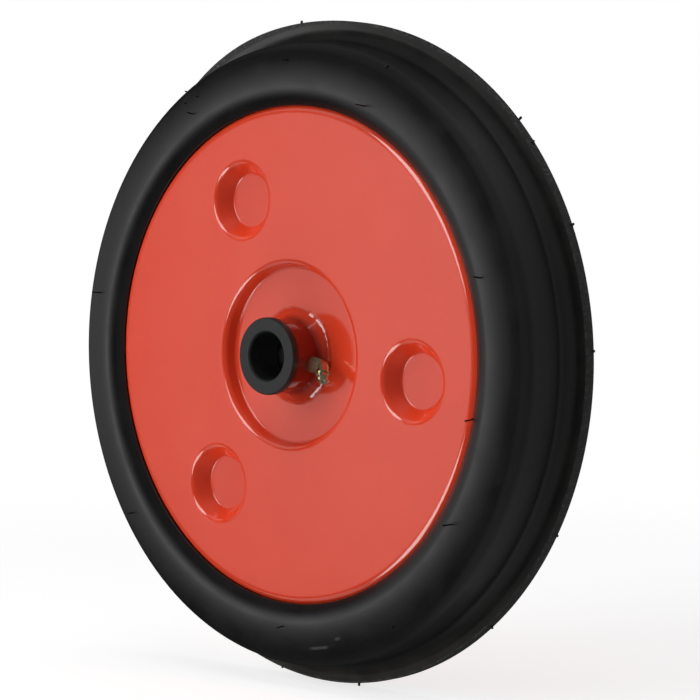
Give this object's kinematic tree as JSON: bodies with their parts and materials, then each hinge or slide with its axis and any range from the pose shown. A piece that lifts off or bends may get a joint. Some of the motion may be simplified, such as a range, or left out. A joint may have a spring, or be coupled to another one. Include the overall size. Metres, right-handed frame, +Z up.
{
  "type": "planter press wheel",
  "caption": "Press wheel with a hollow lipped rubber tyre on a pressed-steel disc drum, turning on flanged bushes and greased through an angled nipple.",
  "frame": {"origin": "centre of the axle bore, on the middle plane between the two discs", "axes": "+Y along the axle towards the tyre's lip side, -Y towards the front with the grease nipple, +Z up"},
  "size_m": [0.352, 0.053, 0.352],
  "materials": {
    "tyre_rubber": "matt moulded rubber",
    "red_paint": "gloss paint",
    "weld_steel": "bare weld metal",
    "bush_plastic": "turned black plastic",
    "nipple_steel": "yellow passivated zinc",
    "ball_steel": "polished steel"
  },
  "bodies": {
    "bushes": {"front_bush": "bush_plastic", "rear_bush": "bush_plastic"},
    "wheel": {"tyre": "tyre_rubber", "front_disc": "red_paint", "rear_disc": "red_paint", "spot_welds": "weld_steel", "hub_tube": "red_paint", "front_hub_weld": "red_paint", "rear_hub_weld": "red_paint", "nipple_body": "nipple_steel", "nipple_head": "nipple_steel", "nipple_spring": "ball_steel"},
    "check_ball": {"nipple_ball": "ball_steel"}
  },
  "joints": [
    {"name": "wheel_spin", "type": "hinge", "parent": "bushes", "child": "wheel", "pos_m": [0, 0, 0], "axis": [0, 1, 0], "continuous": true},
    {"name": "ball_slide", "type": "slide", "parent": "wheel", "child": "check_ball", "axis": [-0.5879, 0.5255, 0.615], "range_m": [0, 0.0008], "stiffness_N_per_m": 300, "springref_m": -0.002, "deforming": ["nipple_spring"]}
  ]
}
